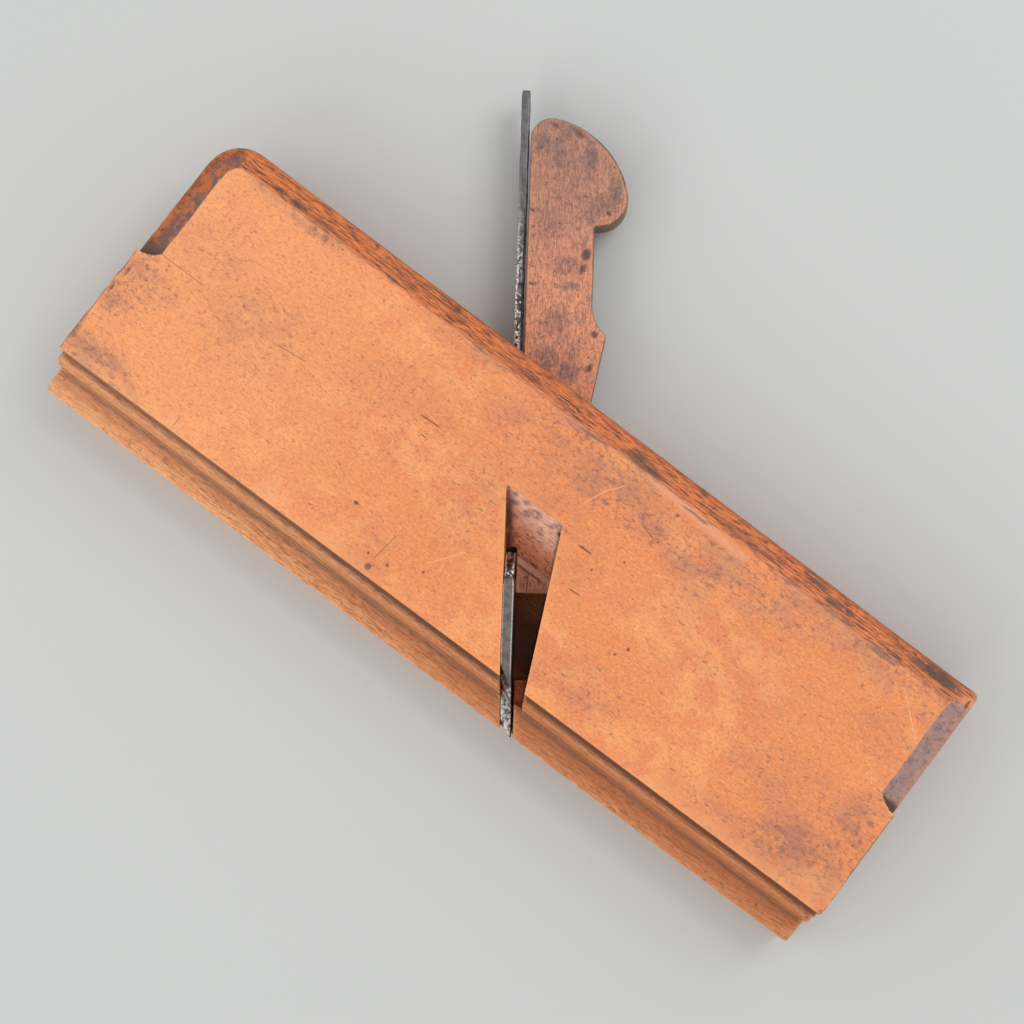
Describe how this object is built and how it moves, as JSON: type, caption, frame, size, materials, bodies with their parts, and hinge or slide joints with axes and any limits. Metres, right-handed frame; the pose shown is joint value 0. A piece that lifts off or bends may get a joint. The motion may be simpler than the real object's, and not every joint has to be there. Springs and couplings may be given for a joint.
{
  "type": "wooden moulding plane",
  "caption": "Wooden moulding plane: beech stock with a stepped moulded sole and side escapement, forged tapering iron, and a hardwood wedge with a round finial.",
  "frame": {"origin": "middle of the blind side, the flat side of the stock on which the plane lies", "axes": "+X along the stock from heel to toe, +Y from the sole to the top, +Z out of the escapement side"},
  "size_m": [0.2425, 0.1408, 0.028],
  "materials": {
    "beech": "old oiled and handled beech, golden orange, satin, with dirt and purple-grey stains",
    "forged_iron": "forged iron and steel, dark and pitted with rust on the tang, grey and rubbed on the blade",
    "wedge_wood": "old hardwood, pinkish red-brown, satin, with grey-purple stains"
  },
  "bodies": {
    "stock": {"stock": "beech"},
    "iron": {"iron": "forged_iron"},
    "wedge": {"wedge": "wedge_wood"}
  },
  "joints": [
    {"name": "iron_slide", "type": "slide", "parent": "stock", "child": "iron", "axis": [-0.5678, 0.8231, 0], "range_m": [-0.172, 0.001]},
    {"name": "wedge_slide", "type": "slide", "parent": "stock", "child": "wedge", "axis": [-0.5678, 0.8231, 0], "range_m": [0, 0.08]}
  ]
}
